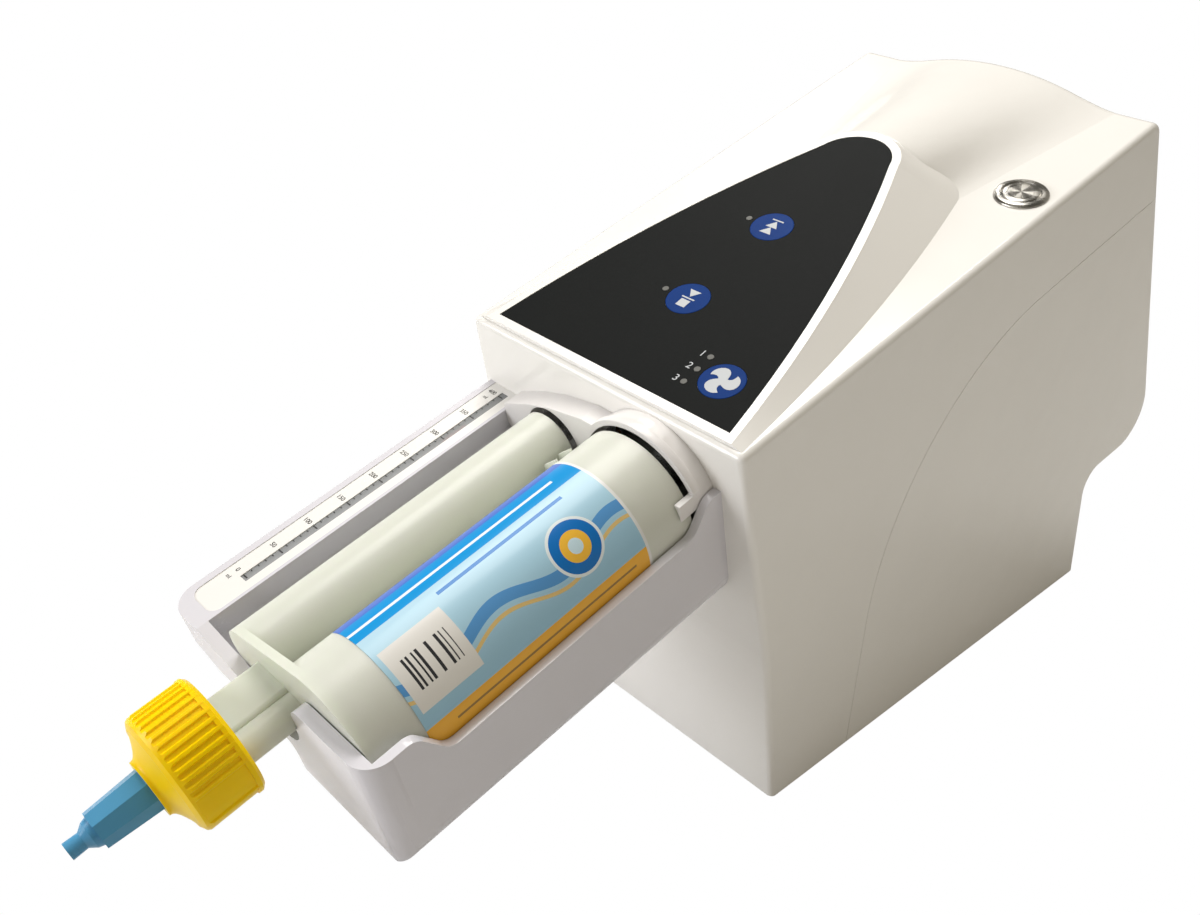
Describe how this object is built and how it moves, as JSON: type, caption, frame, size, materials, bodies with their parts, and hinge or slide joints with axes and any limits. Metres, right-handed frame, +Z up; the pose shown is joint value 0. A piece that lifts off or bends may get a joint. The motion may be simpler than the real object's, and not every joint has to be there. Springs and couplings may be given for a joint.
{
  "type": "dental impression material mixer",
  "caption": "Motor-driven mixer that pushes a twin-barrel impression cartridge forward through a bayonet nut and outlet, with a tray, level scale, key panel and steel push-button.",
  "frame": {"origin": "centre of the footprint on the surface that the feet stand on", "axes": "+Z up, -Y the way the outlet points, +X right when the outlet points to the viewer's far side"},
  "size_m": [0.1966, 0.6102, 0.2929],
  "materials": {
    "housing_white": "glossy moulded housing",
    "cover_white": "glossy moulded housing",
    "base_grey": "matt",
    "rubber_black": "matt rubber",
    "screw_steel": "zinc plated",
    "panel_black": "matt membrane",
    "key_blue": "satin keys",
    "led_clear": "clear lens",
    "switch_black": "matt",
    "board_green": "laminate board",
    "button_steel": "turned stainless steel",
    "cap_steel": "turned stainless steel",
    "spring_steel": "spring wire",
    "tray_white": "glossy moulded tray",
    "window_clear": "clear strip",
    "card_grey": "printed card",
    "pointer_red": "satin",
    "rod_steel": "ground steel",
    "cartridge_milky": "translucent moulding",
    "label_film": "printed film",
    "piston_white": "moulded",
    "seal_black": "rubber ring",
    "nut_yellow": "ribbed moulding",
    "plug_blue": "moulded",
    "plate_aluminium": "milled plate",
    "bush_bronze": "sintered bronze",
    "bearing_steel": "ball bearing",
    "pulley_aluminium": "turned",
    "belt_black": "toothed belt",
    "motor_grey": "painted can",
    "can_steel": "folded sheet",
    "inlet_black": "moulded inlet",
    "standoff_brass": "turned"
  },
  "bodies": {
    "frame": {"front_shell": "housing_white", "rear_cover": "cover_white", "base_plate": "base_grey", "rubber_feet": "rubber_black", "base_screws": "screw_steel", "membrane_panel": "panel_black", "status_leds": "led_clear", "key_switches": "switch_black", "keypad_board": "board_green", "keypad_posts": "switch_black", "power_button_body": "button_steel", "power_button_nut": "button_steel", "power_button_spring": "spring_steel", "seat_plate": "tray_white", "seat_screws": "screw_steel", "tray": "tray_white", "tray_screws": "screw_steel", "scale_window": "window_clear", "scale_card": "card_grey", "cartridge_body": "cartridge_milky", "cartridge_label": "label_film", "outlet_plug": "plug_blue", "chassis_front_plate": "plate_aluminium", "chassis_rear_plate": "plate_aluminium", "guide_rods": "rod_steel", "chassis_brackets": "plate_aluminium", "screw_bearings": "bearing_steel", "feed_motor": "motor_grey", "feed_gearbox": "can_steel", "drive_belt": "belt_black", "mixer_motor": "motor_grey", "mixer_motor_posts": "standoff_brass", "mixer_bushes": "bush_bronze", "control_board": "board_green", "power_supply": "can_steel", "mains_inlet": "inlet_black", "board_standoffs": "standoff_brass"},
    "feed": {"base_piston": "piston_white", "catalyst_piston": "piston_white", "piston_seals": "seal_black", "base_plunger": "plate_aluminium", "catalyst_plunger": "plate_aluminium", "base_plunger_rod": "rod_steel", "catalyst_plunger_rod": "rod_steel", "crosshead": "plate_aluminium", "feed_nut": "bush_bronze", "guide_bushes": "bush_bronze", "rod_screws": "screw_steel", "pointer_rod": "rod_steel", "pointer": "pointer_red"},
    "screw": {"lead_screw": "rod_steel", "screw_pulley": "pulley_aluminium"},
    "motor_shaft": {"motor_pulley": "pulley_aluminium"},
    "mixer": {"mixer_shaft": "rod_steel", "mixer_coupling": "pulley_aluminium"},
    "nut": {"union_nut": "nut_yellow"},
    "rewind": {"key_rewind": "key_blue"},
    "start_stop": {"key_start_stop": "key_blue"},
    "speed": {"key_speed": "key_blue"},
    "power": {"power_button_cap": "cap_steel"}
  },
  "joints": [
    {"name": "feed_slide", "type": "slide", "parent": "frame", "child": "feed", "axis": [0, 0.9659, 0.2588], "range_m": [-0.10299, 0.03433]},
    {"name": "screw_spin", "type": "hinge", "parent": "frame", "child": "screw", "pos_m": [0.008, 0.04251, 0.16277], "axis": [0, 0.9659, 0.2588], "continuous": true},
    {"name": "motor_spin", "type": "hinge", "parent": "frame", "child": "motor_shaft", "pos_m": [0.008, 0.05441, 0.11833], "axis": [0, 0.9659, 0.2588], "continuous": true},
    {"name": "mixer_spin", "type": "hinge", "parent": "frame", "child": "mixer", "pos_m": [-0.00145, 0.03306, 0.19802], "axis": [0, 0.9659, 0.2588], "continuous": true},
    {"name": "nut_turn", "type": "hinge", "parent": "frame", "child": "nut", "pos_m": [-0.00145, -0.24609, 0.12323], "axis": [0, 0.9659, 0.2588], "range_deg": [0, 90]},
    {"name": "key_rewind_press", "type": "slide", "parent": "frame", "child": "rewind", "axis": [0, 0.3535, -0.9354], "range_m": [0, 0.0004], "stiffness_N_per_m": 1500, "springref_m": -0.0003},
    {"name": "key_start_stop_press", "type": "slide", "parent": "frame", "child": "start_stop", "axis": [0, 0.3535, -0.9354], "range_m": [0, 0.0004], "stiffness_N_per_m": 1500, "springref_m": -0.0003},
    {"name": "key_speed_press", "type": "slide", "parent": "frame", "child": "speed", "axis": [0, 0.3535, -0.9354], "range_m": [0, 0.0004], "stiffness_N_per_m": 1500, "springref_m": -0.0003},
    {"name": "power_button_press", "type": "slide", "parent": "frame", "child": "power", "axis": [0, 0.2588, -0.9659], "range_m": [0, 0.0025], "stiffness_N_per_m": 600, "springref_m": -0.001, "deforming": ["power_button_spring"]}
  ],
  "couplings": [
    {"joint": "screw_spin", "follows": "feed_slide", "rad_per_m": -1570.8},
    {"joint": "motor_spin", "follows": "feed_slide", "rad_per_m": -3141.6}
  ]
}
